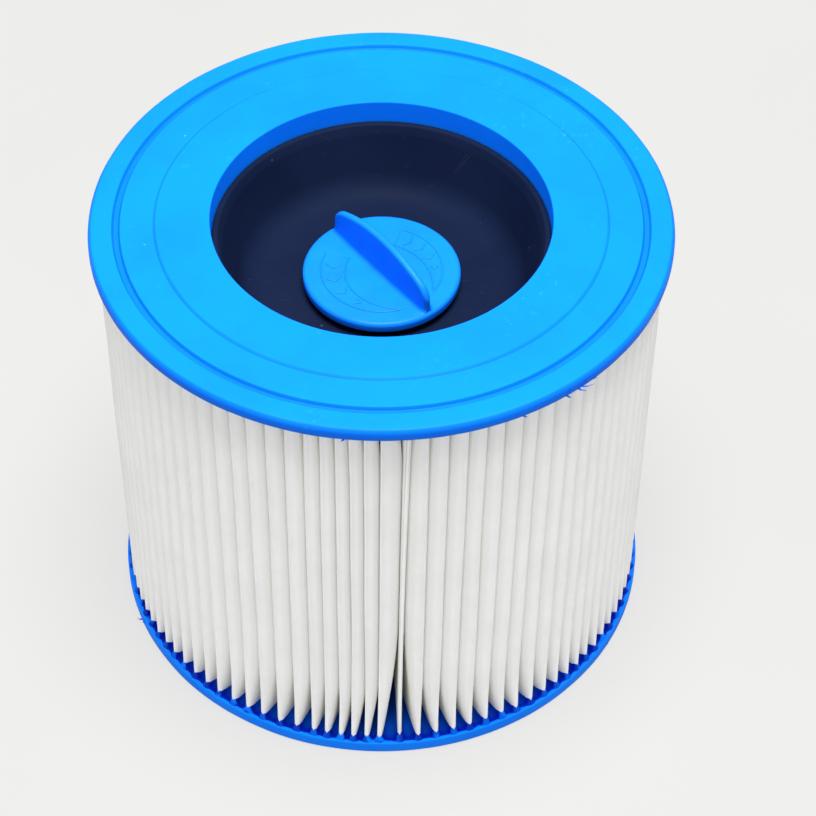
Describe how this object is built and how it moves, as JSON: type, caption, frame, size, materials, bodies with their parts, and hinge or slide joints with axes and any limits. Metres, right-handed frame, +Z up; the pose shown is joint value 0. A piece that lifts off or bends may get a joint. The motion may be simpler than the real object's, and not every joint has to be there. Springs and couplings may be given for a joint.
{
  "type": "pleated filter cartridge",
  "caption": "Cylindrical pleated air filter cartridge for a wet-and-dry vacuum cleaner, with soft moulded end caps and a dished lid held by a quarter-turn knob.",
  "frame": {"origin": "middle of the cartridge's bottom face, on its axis", "axes": "+Z up along the cartridge's axis towards the lid, -Y towards the viewer, +X to the viewer's right"},
  "size_m": [0.203, 0.203, 0.178],
  "materials": {
    "cap_polyurethane": "soft moulded polyurethane, satin, bright blue",
    "filter_sheet": "white spun-bonded non-woven filter sheet, matt and faintly fibrous",
    "core_plastic": "black moulded plastic, matt",
    "lid_plastic": "dark navy moulded plastic, smooth satin",
    "knob_plastic": "bright blue moulded plastic, semi-gloss",
    "seal_rubber": "black rubber, matt",
    "spring_steel": "plain zinc-plated steel"
  },
  "bodies": {
    "cartridge": {"top_end_cap": "cap_polyurethane", "bottom_end_cap": "cap_polyurethane", "pleated_media": "filter_sheet", "media_seam_strip": "filter_sheet", "inner_core": "core_plastic"},
    "lid": {"lid_dish": "lid_plastic", "lid_seal": "seal_rubber"},
    "knob": {"turn_knob": "knob_plastic", "wave_washer": "spring_steel", "stem_o_ring": "seal_rubber", "locking_bar": "lid_plastic", "bar_washer": "spring_steel", "bar_screw": "spring_steel"}
  },
  "joints": [
    {"name": "lid_lift", "type": "slide", "parent": "cartridge", "child": "lid", "axis": [0, 0, 1], "range_m": [0, 0.09]},
    {"name": "knob_turn", "type": "hinge", "parent": "lid", "child": "knob", "pos_m": [0, 0, 0.15], "axis": [0, 0, 1], "range_deg": [-90, 0]}
  ]
}
